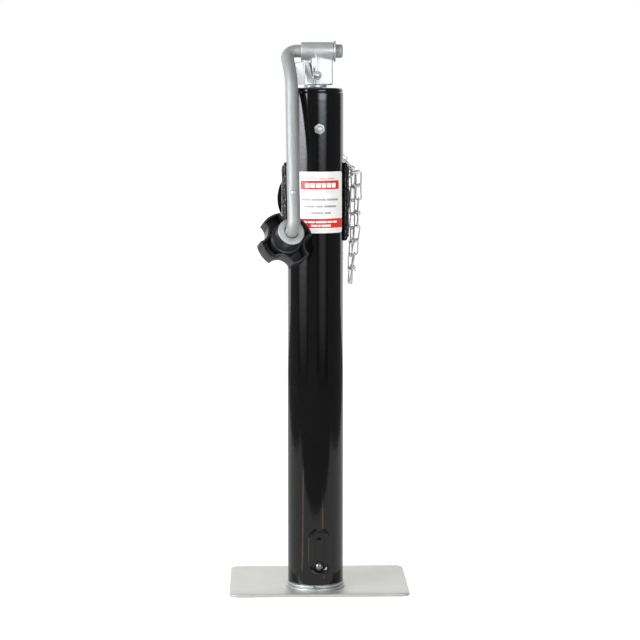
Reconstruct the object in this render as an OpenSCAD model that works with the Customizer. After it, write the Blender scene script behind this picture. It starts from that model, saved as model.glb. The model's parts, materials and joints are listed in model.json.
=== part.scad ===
// Tongue jack stand: a top-wind, pipe-mount trailer jack with a fold-down crank.
// Origin on the tube's axis at the underside of the foot plate, +Z up, crank and label at -Y, mount at +Y.

/* [Outer tube] */
// Outside diameter of the jack's outer tube
tube_od = 57; // [56:0.5:58]
// Wall of the outer tube
tube_wall = 3; // [2.5:0.1:3]
// Height of the tube's lower edge above the ground
tube_bottom = 10.5; // [10.3:0.1:12]
// Height of the tube's upper edge
tube_top = 511.5; // [511:0.5:512]
// Turn of the pressed leg guide from the front, towards +X
guide_turn = 7; // [0:1:12]

/* [Leg and foot] */
// Outside diameter of the sliding leg
leg_od = 50; // [49:0.5:50]
// Wall of the leg
leg_wall = 3; // [2.5:0.1:3]
// Height of the leg's top when it is wound in
leg_top = 480; // [470:1:480]
// Width of the foot plate, left to right
foot_w = 185; // [160:1:200]
// Depth of the foot plate, front to back
foot_d = 126; // [110:1:140]
// Thickness of the foot plate
foot_t = 4; // [3:0.5:4]
// Sideways offset of the foot plate's middle from the tube
foot_dx = 3.5; // [0:0.5:5]
// Backward offset of the foot plate's middle from the tube
foot_dy = 25; // [15:1:27]

/* [Lifting screw] */
// Outside diameter of the lifting screw
screw_d = 19; // [17:0.5:19]
// Pitch of the screw's thread
screw_pitch = 5.08; // [4:0.01:6]
// Travel of the leg
travel = 381; // [350:1:381]

/* [Crank] */
// Diameter of the crank rod
rod_d = 12.7; // [12:0.1:12.7]
// Height of the crank's folding axis
fold_z = 553; // [553:0.5:556]
// Outside diameter of the head's barrel
barrel_d = 18.4; // [17:0.1:19]
// Diameter of the knob across its lobes
knob_d = 53; // [48:1:54]
// Number of lobes round the knob
knob_lobes = 4; // [3:1:6]

/* [Pipe mount] */
// Height of the mount pipe's axis
pipe_z = 401.5; // [400:0.5:403]
// Outside diameter of the mount pipe
pipe_od = 76.5; // [75:0.5:78]
// Bore of the mount pipe, which slips over a 60.3 mm pipe stub
pipe_id = 63.5; // [61:0.5:64]
// Length of the mount pipe
pipe_len = 76; // [60:1:90]
// Diameter of the lock pin
pin_d = 12.7; // [12:0.1:12.7]

/* [Safety chain] */
// Length of one link from joint to joint
link_pitch = 28.5; // [28:0.1:29]
// Width of one link
link_w = 7.4; // [6.5:0.1:8]
// Diameter of the chain's wire
link_wire = 1.7; // [1.5:0.1:1.8]

/* [Hidden] */
$fn = 64;

// Finishes
gloss_black = "#1b1c1f";
bright_zinc = "#c9ccce";
dull_zinc = "#a3a49c";
grey_steel = "#7d8084";
moulded_black = "#242526";

// Clearances
running = 0.08;      // radial gap of a turning fit
gap = 0.3;           // gap between faces of pieces that move past each other
over = 1;            // how far a cutting tool runs past the face it cuts

// Tube and leg
tube_r = tube_od / 2;
bore_r = tube_r - tube_wall;
leg_r = leg_od / 2;
guide_w = 19;                    // pressed oval in the tube's front
guide_h = 44;
guide_z = 44.5;
guide_floor = bore_r + 0.9;      // distance of the oval's flat floor from the axis
key_w = 12;                      // its inner face, which keeps the leg from turning
key_h = 36;
key_face = leg_r - 1;
flat_face = key_face - 0.5;      // flat along the leg's front, for the key
nipple_turn = 6.6;
nipple_z = 475.5;
nipple_shank_r = 3;
nipple_hex_r = 5.5;
nipple_hex_h = 3;
nipple_neck_r = 2.3;
nipple_neck_h = 1.6;
nipple_tip_r = 3;
nipple_tip_h = 3.6;              // from the hexagon to the middle of the round tip

// Label
label_z0 = 371.3;
label_z1 = 432.9;
label_turn = 8.3;
label_half_angle = 59;
label_t = 0.2;

// Screw, nut and thrust bearing, from the bottom up
screw_r = screw_d / 2;
thread_depth = 2;
screw_z0 = 58;
screw_z1 = 487;
stop_z1 = 70;
stop_r = 14;
nut_h = 24;
nut_lip = 4;
collar_z0 = 487.5;
collar_z1 = 492.5;
collar_r = 12;
race_t = 3.5;
ball_r = 2.9;
ball_circle_r = 14.5;
ball_count = 12;
lower_race_z0 = collar_z1;
ball_z = lower_race_z0 + race_t + ball_r + 0.1;
upper_race_z0 = ball_z + ball_r + 0.1;
race_r = 20;
stem_r = 7;
stem_z1 = 541;

// Cap and crank head
cap_z0 = tube_top - 6;
cap_z1 = 516.3;
cap_r = 26.9;
cap_edge = 1.6;
washer_z0 = cap_z1 + gap;
head_z0 = 519.3;
head_z1 = fold_z - 4;
head_core_r = 11;                // round column over the stem
head_x0 = -10.5;                 // folded sheet on both sides of it
head_x1 = 17.5;
head_side = 6;
flap_x0 = -21;                   // and its flap on the left
barrel_r = barrel_d / 2;
barrel_x0 = -14.5;
barrel_x1 = 18;
head_pin_r = 2.6;
head_pin_z = 528.8;
head_pin_turn = 12;

// Crank rod: points of its centre line, from its peened right end to the bend at the knob
rod_r = rod_d / 2;
rod_end = [27.5, 0, fold_z];
rod_bend = [-29.5, 0, fold_z];
rod_neck = [-24.4, -27, fold_z - 27];
rod_foot = [-22.8, -85, 380.5];
elbow_swell = 0.15;
// Knob axis, from the bend through the knob
knob_polar = 116;
knob_azimuth = 108;
knob_start = 9;                 // from the bend to the knob washer
knob_washer_t = 1.6;
knob_z0 = knob_washer_t + gap;
lobe_z0 = 17;
lobe_z1 = 31;
lobe_turn = -28;
lobe_wall = 2.2;
hub_r = 13.2;
hub_base_r = 14.6;
scallop_r = 11.4;
scallop_at = 29.9;
spindle_z1 = 26.5;
nut_pocket_z0 = 22.5;
cap_pocket_r = 12;
knob_cap_z0 = 29;

// Pipe mount
saddle_z0 = 365;
saddle_z1 = 438;
saddle_y0 = -3;
saddle_y1 = 60;
saddle_t = 5.4;
saddle_x = tube_r + 0.1 + saddle_t;
saddle_corner = 8;
bead_r = 2.9;                    // weld beads between the tube and the saddle's edges
bead_h = saddle_z1 - saddle_z0 + 3;
pin_y = saddle_y1 + 38;
pin_r = pin_d / 2;
pin_z0 = pipe_z + pipe_id / 2 + 0.3;
pin_z1 = 476;
pin_eye_z = 469;
pin_eye_r = 2.5;
boss_r = 10.5;
boss_z1 = 445;
ring_r = 10;
ring_wire = 2.4;
ring_tilt = 25;
ring_bow = ring_r - sqrt(ring_r * ring_r - pin_r * pin_r);   // how far the ring curves away inside the pin

// Chain: the staple welded to the right leg, and guide points that the links run towards
link_slack = 0.8;
staple = [saddle_x, 8, 430.5];
staple_r = 4.5;
staple_wire = 2.2;
// The near strand hangs from the staple and the far strand rises from its lower end to the lock pin
near_start = [38.05, 6.36, 430.5];
near_guides = [[46, 36, 430.5], [45.6, 37, 402], [44.4, 38, 374], [41.8, 39, 346], [37.4, 40, 318]];
near_rolls = [90, 0, 90, 10, 100];
far_drop = [0, 1.5, -2.2];
far_guides = [
  [37.6, 44, 344], [39.4, 45, 372], [39.8, 46, 400], [40.5, 47, 429], [33, 71.5, 441], [13, 86, 462]
];
far_rolls = [40, -60, 30, -45, 70, -10];

function unit(v) = v / norm(v);
function aim(v) = [-asin(v.y), atan2(v.x, v.z), 0];
function dir(polar, azimuth) = [sin(polar) * cos(azimuth), sin(polar) * sin(azimuth), cos(polar)];
// Each joint of a strand lies one pitch from the last one, towards its guide point
function joint(start, guides, i) =
  i == 0 ? start
  : let (last = joint(start, guides, i - 1)) last + link_pitch * unit(guides[i - 1] - last);

knob_dir = dir(knob_polar, knob_azimuth);
knob_origin = rod_foot + knob_start * knob_dir;

// Hollow cylinder between two heights
module ring(r_out, r_in, z0, z1) {
  translate([0, 0, z0]) difference() {
    cylinder(r = r_out, h = z1 - z0);
    translate([0, 0, -over]) cylinder(r = r_in, h = z1 - z0 + 2 * over);
  }
}

// Round bar between two points
module bar(p, q, r) {
  v = unit(q - p);
  translate(p) rotate(aim(v)) cylinder(r = r, h = norm(q - p));
}

// Flat oval with round ends, standing on end
module oval(w, h) {
  square([w, h - w], center = true);
  for (s = [-1, 1]) translate([0, s * (h - w) / 2]) circle(r = w / 2);
}

// Turns its children from the front towards +X, drawn with Z pointing out of the tube
module on_front(turn, z) {
  translate([0, 0, z]) rotate([0, 0, turn]) rotate([90, 0, 0]) children();
}

// Puts its children in the knob's own frame, Z from the washer to the far face
module at_knob() {
  translate(knob_origin) rotate([0, knob_polar, knob_azimuth]) children();
}

// ---- Body of the jack ----

module outer_tube() color(gloss_black) difference() {
  union() {
    ring(tube_r, bore_r, tube_bottom, tube_top);
    intersection() {
      on_front(guide_turn, guide_z) translate([0, 0, key_face]) linear_extrude(tube_wall) oval(key_w, key_h);
      cylinder(r = bore_r + 0.5, h = tube_top);
    }
  }
  on_front(guide_turn, guide_z) translate([0, 0, guide_floor]) linear_extrude(tube_wall) oval(guide_w, guide_h);
  on_front(nipple_turn, nipple_z) cylinder(r = nipple_shank_r + 0.02, h = tube_od);
}

module top_cap() color(gloss_black) rotate_extrude() polygon([
  [stem_r + running, cap_z0], [bore_r - 0.05, cap_z0], [bore_r - 0.05, tube_top],
  [cap_r, tube_top], [cap_r, cap_z1 - cap_edge], [cap_r - cap_edge, cap_z1], [stem_r + running, cap_z1]
]);

module upper_race() color(grey_steel)
  ring(race_r, stem_r + 1, upper_race_z0, cap_z0);

module bearing_balls() color(bright_zinc)
  for (i = [0 : ball_count - 1])
    rotate([0, 0, i * 360 / ball_count]) translate([ball_circle_r, 0, ball_z]) sphere(r = ball_r);

module grease_nipple() color(bright_zinc) on_front(nipple_turn, nipple_z) {
  translate([0, 0, bore_r]) cylinder(r = nipple_shank_r, h = tube_wall + nipple_hex_h);
  translate([0, 0, tube_r + 0.05]) cylinder(r = nipple_hex_r, h = nipple_hex_h, $fn = 6);
  translate([0, 0, tube_r + nipple_hex_h])
    cylinder(r1 = nipple_tip_r + 0.6, r2 = nipple_neck_r, h = nipple_neck_h);
  translate([0, 0, tube_r + nipple_hex_h]) cylinder(r = nipple_neck_r, h = nipple_tip_h);
  translate([0, 0, tube_r + nipple_hex_h + nipple_tip_h]) sphere(r = nipple_tip_r);
}

module label() color("#f2f0ec")
  rotate([0, 0, label_turn - 90 - label_half_angle])
    rotate_extrude(angle = 2 * label_half_angle)
      translate([tube_r + 0.02, label_z0]) square([label_t, label_z1 - label_z0]);

// ---- Pipe mount ----

// Plan of the saddle, a plate bent round the tube
module saddle_plan() {
  inner_x = saddle_x - saddle_t;
  inner_y = saddle_y1 - saddle_t;
  bend_r = saddle_corner - saddle_t;
  difference() {
    union() {
      translate([-saddle_x, saddle_y0]) square([2 * saddle_x, saddle_y1 - saddle_corner - saddle_y0]);
      translate([-saddle_x + saddle_corner, 0]) square([2 * (saddle_x - saddle_corner), saddle_y1]);
      for (s = [-1, 1])
        translate([s * (saddle_x - saddle_corner), saddle_y1 - saddle_corner]) circle(r = saddle_corner);
    }
    translate([-inner_x, saddle_y0 - over]) square([2 * inner_x, inner_y - bend_r - saddle_y0 + over]);
    translate([-inner_x + bend_r, 0]) square([2 * (inner_x - bend_r), inner_y]);
    for (s = [-1, 1])
      translate([s * (inner_x - bend_r), inner_y - bend_r]) circle(r = bend_r);
  }
}

module mount_saddle() color(gloss_black)
  translate([0, 0, saddle_z0]) linear_extrude(saddle_z1 - saddle_z0) saddle_plan();

module saddle_welds() color(gloss_black)
  for (s = [-1, 1]) translate([s * (tube_r + 1.4), saddle_y0 - 0.4, saddle_z0 - 1.5]) {
    cylinder(r = bead_r, h = bead_h);
    sphere(r = bead_r);
    translate([0, 0, bead_h]) sphere(r = bead_r);
  }

module mount_pipe() color(gloss_black) difference() {
  translate([0, saddle_y1, pipe_z]) rotate([-90, 0, 0]) ring(pipe_od / 2, pipe_id / 2, 0, pipe_len);
  translate([0, pin_y, pipe_z]) cylinder(r = pin_r + running, h = pipe_od);
}

module pipe_weld() color(gloss_black) intersection() {
  translate([0, saddle_y1, pipe_z]) rotate([-90, 0, 0]) rotate_extrude()
    polygon([[pipe_od / 2, 0], [pipe_od / 2 + 4, 0], [pipe_od / 2, 4]]);
  translate([-saddle_x + 2, saddle_y1 - over, saddle_z0]) cube([2 * saddle_x - 4, 6, saddle_z1 - saddle_z0]);
}

module pin_boss() color(gloss_black) difference() {
  translate([0, pin_y, pipe_z]) cylinder(r = boss_r, h = boss_z1 - pipe_z);
  translate([0, pin_y, pipe_z]) cylinder(r = pin_r + running, h = pipe_od);
  translate([0, saddle_y1, pipe_z]) rotate([-90, 0, 0]) cylinder(r = pipe_od / 2, h = pipe_len);
}

module chain_staple() color(bright_zinc) difference() {
  translate(staple) rotate([90, 0, 0]) rotate_extrude() translate([staple_r, 0]) circle(r = staple_wire / 2);
  translate(staple - [50, 25, 25]) cube(50);
}

// One link: two long loops end to end along Z, with a knot between them
module chain_link() {
  length = link_pitch + 2 * link_wire + link_slack;
  knot = 3;
  loop = (length - 2 * link_wire - knot) / 2;
  rotate([90, 0, 0]) translate([0, 0, -link_wire / 2]) linear_extrude(link_wire) difference() {
    oval(link_w, length);
    for (s = [-1, 1]) translate([0, s * (knot + loop) / 2]) oval(link_w - 2 * link_wire, loop);
  }
}

module strand(start, guides, rolls) {
  for (i = [0 : len(guides) - 1]) {
    p = joint(start, guides, i);
    q = joint(start, guides, i + 1);
    translate((p + q) / 2) rotate(aim(unit(q - p))) rotate([0, 0, rolls[i]]) chain_link();
  }
}

module safety_chain() color(bright_zinc) {
  strand(near_start, near_guides, near_rolls);
  strand(joint(near_start, near_guides, len(near_guides)) + far_drop, far_guides, far_rolls);
}

// ---- Lifting screw ----

module lead_screw() color(grey_steel) {
  turns = floor((screw_z1 - stop_z1 - 6) / screw_pitch);
  root = screw_r - thread_depth;
  ridge = [0, 0.15, 0.5, 0.65];   // foot, crest, crest and foot of each ridge, in pitches
  rotate_extrude() polygon(concat(
    [[0, screw_z0], [root - 1, screw_z0], [root - 1, stop_z1], [root, stop_z1]],
    [for (i = [0 : turns - 1], k = [0 : 3])
      [k == 0 || k == 3 ? root : screw_r, stop_z1 + 1 + screw_pitch * (i + ridge[k])]],
    [[root, screw_z1], [0, screw_z1]]
  ));
}

module screw_stop() color(grey_steel)
  ring(stop_r, screw_r - thread_depth - 1 + 0.02, screw_z0 + 2, stop_z1);

// ---- Leg ----

module inner_tube() color(dull_zinc) difference() {
  ring(leg_r, leg_r - leg_wall, foot_t, leg_top);
  on_front(guide_turn, guide_z)
    translate([-leg_r, -guide_h / 2 - 4, flat_face]) cube([leg_od, leg_od * 10, leg_r]);
}

module lift_nut() color("#9a8346") difference() {
  union() {
    translate([0, 0, leg_top - nut_h]) cylinder(r = leg_r - leg_wall - 0.02, h = nut_h);
    translate([0, 0, leg_top]) cylinder(r = flat_face, h = nut_lip);
  }
  translate([0, 0, leg_top - nut_h - over]) cylinder(r = screw_r + gap, h = nut_h + nut_lip + 2 * over);
}

module foot_collar() color(bright_zinc) difference() {
  ring(tube_r + 1.8, leg_r + 0.05, foot_t, tube_bottom - 0.8);
  on_front(guide_turn - 3, foot_t + 4) translate([-1, -1, leg_r]) cube([2, 10, 10]);
}

module foot_plate() color(dull_zinc) translate([foot_dx, foot_dy, 0]) linear_extrude(foot_t) {
  corner = 8;
  square([foot_w - 2 * corner, foot_d], center = true);
  square([foot_w, foot_d - 2 * corner], center = true);
  for (sx = [-1, 1], sy = [-1, 1])
    translate([sx * (foot_w / 2 - corner), sy * (foot_d / 2 - corner)]) circle(r = corner);
}

// ---- Crank head ----

module head_pin_hole(r) {
  rotate([0, 0, head_pin_turn]) translate([0, 20, head_pin_z]) rotate([90, 0, 0]) cylinder(r = r, h = 40);
}

module drive_stem() color(grey_steel) difference() {
  union() {
    translate([0, 0, collar_z0]) cylinder(r = collar_r, h = collar_z1 - collar_z0);
    translate([0, 0, collar_z0]) cylinder(r = stem_r, h = stem_z1 - collar_z0);
  }
  head_pin_hole(head_pin_r + 0.02);
}

module lower_race() color(grey_steel)
  ring(race_r, stem_r + 0.02, lower_race_z0, lower_race_z0 + race_t);

module head_washer() color(bright_zinc)
  ring(11.6, stem_r + 0.02, washer_z0, head_z0 - 0.05);

module crank_head() color(bright_zinc) difference() {
  union() {
    translate([barrel_x0, 0, fold_z]) rotate([0, 90, 0]) cylinder(r = barrel_r, h = barrel_x1 - barrel_x0);
    translate([0, 0, head_z0]) cylinder(r = head_core_r, h = head_z1 - head_z0);
    translate([head_x0, -head_side, head_z0]) cube([head_x1 - head_x0, 2 * head_side, head_z1 - head_z0]);
    translate([flap_x0, -2, head_z0]) cube([20, 7, stem_z1 + 1 - head_z0]);
  }
  translate([barrel_x0 - over, 0, fold_z]) rotate([0, 90, 0])
    cylinder(r = rod_r + running, h = barrel_x1 - barrel_x0 + 2 * over);
  translate([0, 0, head_z0 - over]) cylinder(r = stem_r + 0.02, h = stem_z1 + 1 - head_z0 + over);
  head_pin_hole(head_pin_r + 0.02);
}

module head_pin() color(bright_zinc)
  rotate([0, 0, head_pin_turn]) translate([0, 0, head_pin_z]) rotate([90, 0, 0]) {
    translate([0, 0, -12.5]) cylinder(r = head_pin_r, h = 24);
    translate([0, 0, 11.2]) cylinder(r1 = 3.6, r2 = 2.6, h = 1.6);
  }

// ---- Handle ----

module crank_rod() color(bright_zinc) {
  spindle_end = knob_origin + spindle_z1 * knob_dir;
  bar(rod_end, rod_bend, rod_r);
  bar(rod_bend, rod_neck, rod_r);
  bar(rod_neck, rod_foot, rod_r);
  bar(rod_foot, spindle_end, rod_r);
  for (p = [rod_bend, rod_neck, rod_foot]) translate(p) sphere(r = rod_r + elbow_swell);
}

module rod_washer() color(bright_zinc)
  translate([barrel_x1 + gap, 0, fold_z]) rotate([0, 90, 0]) ring(10.6, rod_r + 0.02, 0, 2);

module knob_washer() color(bright_zinc) at_knob()
  ring(13.2, rod_r + 0.02, 0, knob_washer_t);

module push_nut() color(grey_steel) at_knob()
  ring(9.5, rod_r + 0.02, nut_pocket_z0 + 0.5, nut_pocket_z0 + 2.5);

// ---- Knob ----

// Outline of the knob: a disc with a scallop between each two lobes, drawn in by a margin
module knob_outline(margin) {
  difference() {
    circle(r = knob_d / 2 - margin);
    for (i = [0 : knob_lobes - 1])
      rotate((i + 0.5) * 360 / knob_lobes) translate([scallop_at, 0]) circle(r = scallop_r + margin);
  }
}

module knob() color(moulded_black) at_knob() difference() {
  rotate([0, 0, lobe_turn]) {
    translate([0, 0, lobe_z0]) linear_extrude(lobe_z1 - lobe_z0) knob_outline(0);
    translate([0, 0, knob_z0]) cylinder(r1 = hub_r, r2 = hub_base_r, h = lobe_z1 - knob_z0);
  }
  rotate([0, 0, lobe_turn]) translate([0, 0, lobe_z0 - over])
    linear_extrude(lobe_z1 - lobe_z0 - 2 + over) difference() {
      knob_outline(lobe_wall);
      circle(r = hub_base_r + 0.2);
    }
  cylinder(r = rod_r + running, h = nut_pocket_z0 + over);
  translate([0, 0, nut_pocket_z0]) cylinder(r = cap_pocket_r, h = lobe_z1);
}

module knob_cap() color(moulded_black) at_knob() translate([0, 0, knob_cap_z0])
  cylinder(r = cap_pocket_r - 0.02, h = lobe_z1 - knob_cap_z0);

// ---- Lock pin ----

module lock_pin() color(bright_zinc) difference() {
  union() {
    translate([0, pin_y, pin_z0]) cylinder(r = pin_r, h = pin_z1 - pin_z0);
    translate([0, pin_y, pin_z1]) cylinder(r1 = pin_r, r2 = pin_r - 2, h = 2);
  }
  translate([-pin_d, pin_y, pin_eye_z]) rotate([0, 90, 0]) cylinder(r = pin_eye_r, h = 2 * pin_d);
}

module pin_ring() color(bright_zinc)
  translate([0, pin_y, pin_eye_z]) rotate([ring_tilt, 0, 0]) translate([0, ring_bow / 2 - ring_r, 0])
    rotate_extrude() translate([ring_r, 0]) circle(r = ring_wire / 2);

outer_tube();
top_cap();
upper_race();
bearing_balls();
grease_nipple();
label();
mount_saddle();
saddle_welds();
mount_pipe();
pipe_weld();
pin_boss();
chain_staple();
safety_chain();
lead_screw();
screw_stop();
inner_tube();
lift_nut();
foot_collar();
foot_plate();
drive_stem();
lower_race();
head_washer();
crank_head();
head_pin();
crank_rod();
rod_washer();
knob_washer();
push_nut();
knob();
knob_cap();
lock_pin();
pin_ring();
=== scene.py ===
# %% [markdown]
# # A trailer's tongue jack, dressed for its portrait
# The working model of the jack, with its tube, screw, leg, crank and pipe mount, is already made and
# packed. Here it gets its looks: painted steel, zinc plate, moulded plastic and a printed label. Each new
# piece is a surface worked out with numpy in the same frame as the working model, so nothing has to be
# fitted afterwards.

# %% Load the working model
import json
import math

import bmesh
import bpy
import numpy as np
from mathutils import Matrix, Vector


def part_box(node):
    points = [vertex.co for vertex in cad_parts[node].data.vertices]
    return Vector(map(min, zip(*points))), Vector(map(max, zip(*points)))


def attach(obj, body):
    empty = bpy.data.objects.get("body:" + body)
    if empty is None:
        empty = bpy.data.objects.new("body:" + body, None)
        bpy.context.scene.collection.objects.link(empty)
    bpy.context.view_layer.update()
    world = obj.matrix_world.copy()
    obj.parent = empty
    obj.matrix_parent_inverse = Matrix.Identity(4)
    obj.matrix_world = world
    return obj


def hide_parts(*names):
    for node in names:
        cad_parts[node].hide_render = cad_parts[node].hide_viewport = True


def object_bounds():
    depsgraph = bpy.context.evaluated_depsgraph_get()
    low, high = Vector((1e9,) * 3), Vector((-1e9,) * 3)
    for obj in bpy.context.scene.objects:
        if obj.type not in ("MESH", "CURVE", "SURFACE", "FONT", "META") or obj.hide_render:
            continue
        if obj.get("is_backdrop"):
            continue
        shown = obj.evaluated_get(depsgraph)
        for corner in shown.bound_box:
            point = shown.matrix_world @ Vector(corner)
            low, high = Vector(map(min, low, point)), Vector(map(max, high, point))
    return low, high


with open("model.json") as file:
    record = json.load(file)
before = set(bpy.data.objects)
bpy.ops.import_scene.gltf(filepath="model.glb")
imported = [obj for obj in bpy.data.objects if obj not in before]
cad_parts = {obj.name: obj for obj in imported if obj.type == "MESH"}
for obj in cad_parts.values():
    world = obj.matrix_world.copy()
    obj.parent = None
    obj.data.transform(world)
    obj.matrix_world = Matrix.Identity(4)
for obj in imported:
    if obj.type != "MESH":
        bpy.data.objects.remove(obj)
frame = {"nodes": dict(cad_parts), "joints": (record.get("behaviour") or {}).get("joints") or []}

CAD_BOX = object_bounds()
JOINTS = {joint["name"]: joint for joint in frame["joints"]}

# %% [markdown]
# ## Units and small helpers
# Blender works in metres, but a jack is easier to think about in millimetres. So shapes are written in
# millimetres and scaled once, when their mesh is made. Boxes read from the working model are turned into
# millimetres too.

# %% Millimetres
MM = 0.001


def box_mm(name):
    """Lowest and highest corner of a node of the working model, in millimetres."""
    low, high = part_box(name)
    return np.array(low) / MM, np.array(high) / MM


def unit(v):
    """The vectors v, each divided by its own length."""
    v = np.asarray(v, float)
    return v / np.linalg.norm(v, axis=-1, keepdims=True)


def smooth(x, low, high):
    """Rises from 0 at low to 1 at high with level ends: 3t^2 - 2t^3."""
    t = np.clip((np.asarray(x, float) - low) / (high - low), 0, 1)
    return t * t * (3 - 2 * t)


TUBE_LOW, TUBE_HIGH = box_mm("outer_tube")
TUBE_R = (TUBE_HIGH[0] - TUBE_LOW[0]) / 2
print("tube radius", round(TUBE_R, 2), "mm, from z", round(TUBE_LOW[2], 1), "to", round(TUBE_HIGH[2], 1))

# %% [markdown]
# ## Outlines
# Most pieces start as a flat outline or a bent line. A real edge or bend is never sharp, so one function
# rounds the corners of any line, flat or in space, with true arcs. Another draws an outline in by a margin,
# which is how walls and rounded edges are made.

# %% Rounded lines
def rounded(corners, radii, closed=True, steps=6):
    """A line whose corners are arcs. An arc's centre lies on the corner's bisector, radius / sin(half
    angle) away, and its points turn evenly from one side to the other."""
    c = np.asarray(corners, float)
    n = len(c)
    radii = np.broadcast_to(np.asarray(radii, float), n)
    pieces = []
    for i in range(n):
        if radii[i] == 0 or (not closed and i in (0, n - 1)):
            pieces.append(c[i:i + 1])
            continue
        back, ahead = unit(c[i - 1] - c[i]), unit(c[(i + 1) % n] - c[i])
        half = np.arccos(np.clip(back @ ahead, -1, 1)) / 2
        centre = c[i] + unit(back + ahead) * radii[i] / np.sin(half)
        first = c[i] + back * radii[i] / np.tan(half) - centre
        last = c[i] + ahead * radii[i] / np.tan(half) - centre
        turn = np.pi - 2 * half
        s = np.linspace(0, 1, steps + 1)[:, None]
        pieces.append(centre + (np.sin((1 - s) * turn) * first + np.sin(s * turn) * last) / np.sin(turn))
    return np.concatenate(pieces)


def drawn_in(outline, margin):
    """A closed flat outline, run anticlockwise, moved inwards by a margin along its own normals."""
    along = unit(np.roll(outline, -1, 0) - np.roll(outline, 1, 0))
    inwards = np.stack([-along[:, 1], along[:, 0]], -1)
    return outline + margin * inwards


def circle(radius, steps=24):
    """Points evenly round a circle."""
    a = np.linspace(0, 2 * np.pi, steps, endpoint=False)
    return radius * np.stack([np.cos(a), np.sin(a)], -1)


# %% [markdown]
# ## Surfaces
# Three shapes make nearly everything here. A turned piece is a profile carried round an axis, as on a
# lathe. A swept piece is a section carried along a line, as a rod or a bent plate is. A slab is an outline
# with thickness. Each is one grid of points worked out as a whole array.

# %% Turned, swept and slab surfaces
def turned(profile, at=(0, 0, 0), along=(0, 0, 1), steps=96):
    """Each point (r, h) of the profile becomes a ring: at + h axis + r (cos a, sin a) across the axis."""
    axis = unit(along)
    across = unit(np.cross([0, 1, 0] if abs(axis[1]) < 0.9 else [0, 0, 1], axis))
    up = np.cross(axis, across)
    a = np.linspace(0, 2 * np.pi, steps, endpoint=False)[:, None]
    ring = np.cos(a) * across + np.sin(a) * up
    r, h = np.asarray(profile, float).T
    return np.asarray(at, float) + h[None, :, None] * axis + r[None, :, None] * ring[:, None, :]


def carried_frames(path, closed, up):
    """Tangent, side and top at each point of a line. The side is carried along and only ever corrected to
    stay square to the tangent, so that the section doesn't twist. With up given, the side stays square to
    that."""
    if closed:
        tangent = unit(np.roll(path, -1, 0) - np.roll(path, 1, 0))
    else:
        tangent = unit(np.gradient(path, axis=0))
    if up is not None:
        side = unit(np.cross(up, tangent))
        return tangent, side, np.cross(tangent, side)
    side = np.empty_like(path)
    v = unit(np.cross(tangent[0], [0.31, 0.22, 0.93]))
    for i, t in enumerate(tangent):
        v = unit(v - (v @ t) * t)
        side[i] = v
    return tangent, side, np.cross(tangent, side)


def swept(path, section, closed=False, up=None, edge=0.0):
    """A flat section (or one for each point) carried along a line: path + x side + y top. Open ends are
    rounded by a quarter circle of radius edge and closed at the middle."""
    path = np.asarray(path, float)
    tangent, side, top = carried_frames(path, closed, up)
    section = np.broadcast_to(section, (len(path),) + np.shape(section)[-2:])
    if not closed:
        q = np.linspace(0, np.pi / 2, 5)
        advance, margin = edge * (1 - np.sin(q)), edge * (1 - np.cos(q))
        start = [drawn_in(section[0], m) for m in margin[::-1]]
        finish = [drawn_in(section[-1], m) for m in margin]
        path = np.concatenate([
            path[:1], path[0] + advance[::-1, None] * tangent[0], path[1:-1],
            path[-1] - advance[:, None] * tangent[-1], path[-1:]])
        section = np.concatenate([
            0 * section[:1], start, section[1:-1], finish, 0 * section[:1]])
        again = [0] * 6 + list(range(1, len(side) - 1)) + [len(side) - 1] * 6
        side, top = side[again], top[again]
    return path[:, None] + section[..., :1] * side[:, None] + section[..., 1:] * top[:, None]


def slab(outline, low, high, edge, normal=(0, 0, 1), right=(1, 0, 0), at=(0, 0, 0), top=()):
    """An outline with thickness. Its edges are quarter circles of radius edge, and top adds further rings
    (margin, height) towards the middle of the upper face. Its ends are left open, to be filled as flat
    faces when the piece is made."""
    normal, right = unit(normal), unit(right)
    up = np.cross(normal, right)
    q = np.linspace(0, np.pi / 2, 5)
    rings = [(edge * (1 - np.sin(a)), low + edge * (1 - np.cos(a))) for a in q]
    rings += [(edge * (1 - np.cos(a)), high - edge * (1 - np.sin(a))) for a in q] + list(top)
    flat = np.stack([drawn_in(outline, margin) for margin, height in rings], 1)
    height = np.array([h for margin, h in rings])
    return (np.asarray(at, float) + flat[..., :1] * right + flat[..., 1:] * up
            + height[None, :, None] * normal)


# %% [markdown]
# ## From surfaces to pieces
# A piece joins its surfaces into one mesh, merges the points that meet at seams and poles, turns every face
# outwards and keeps edges over 35 degrees crisp. A surface can also carry a UV map in metres, for finishes
# that follow the metal, such as the lines along a drawn rod.

# %% Make a piece
def grid_faces(nu, nv, wrap_u, wrap_v, start):
    """The quads between neighbours of a grid of nu by nv points, and the grid steps at each quad's
    corners."""
    u, v = np.meshgrid(np.arange(nu - (not wrap_u)), np.arange(nv - (not wrap_v)), indexing="ij")
    steps = np.stack([np.stack([u + du, v + dv], -1) for du, dv in ((0, 0), (1, 0), (1, 1), (0, 1))], 2)
    index = start + (steps[..., 0] % nu) * nv + steps[..., 1] % nv
    return index.reshape(-1, 4), steps.reshape(-1, 2)


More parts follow.
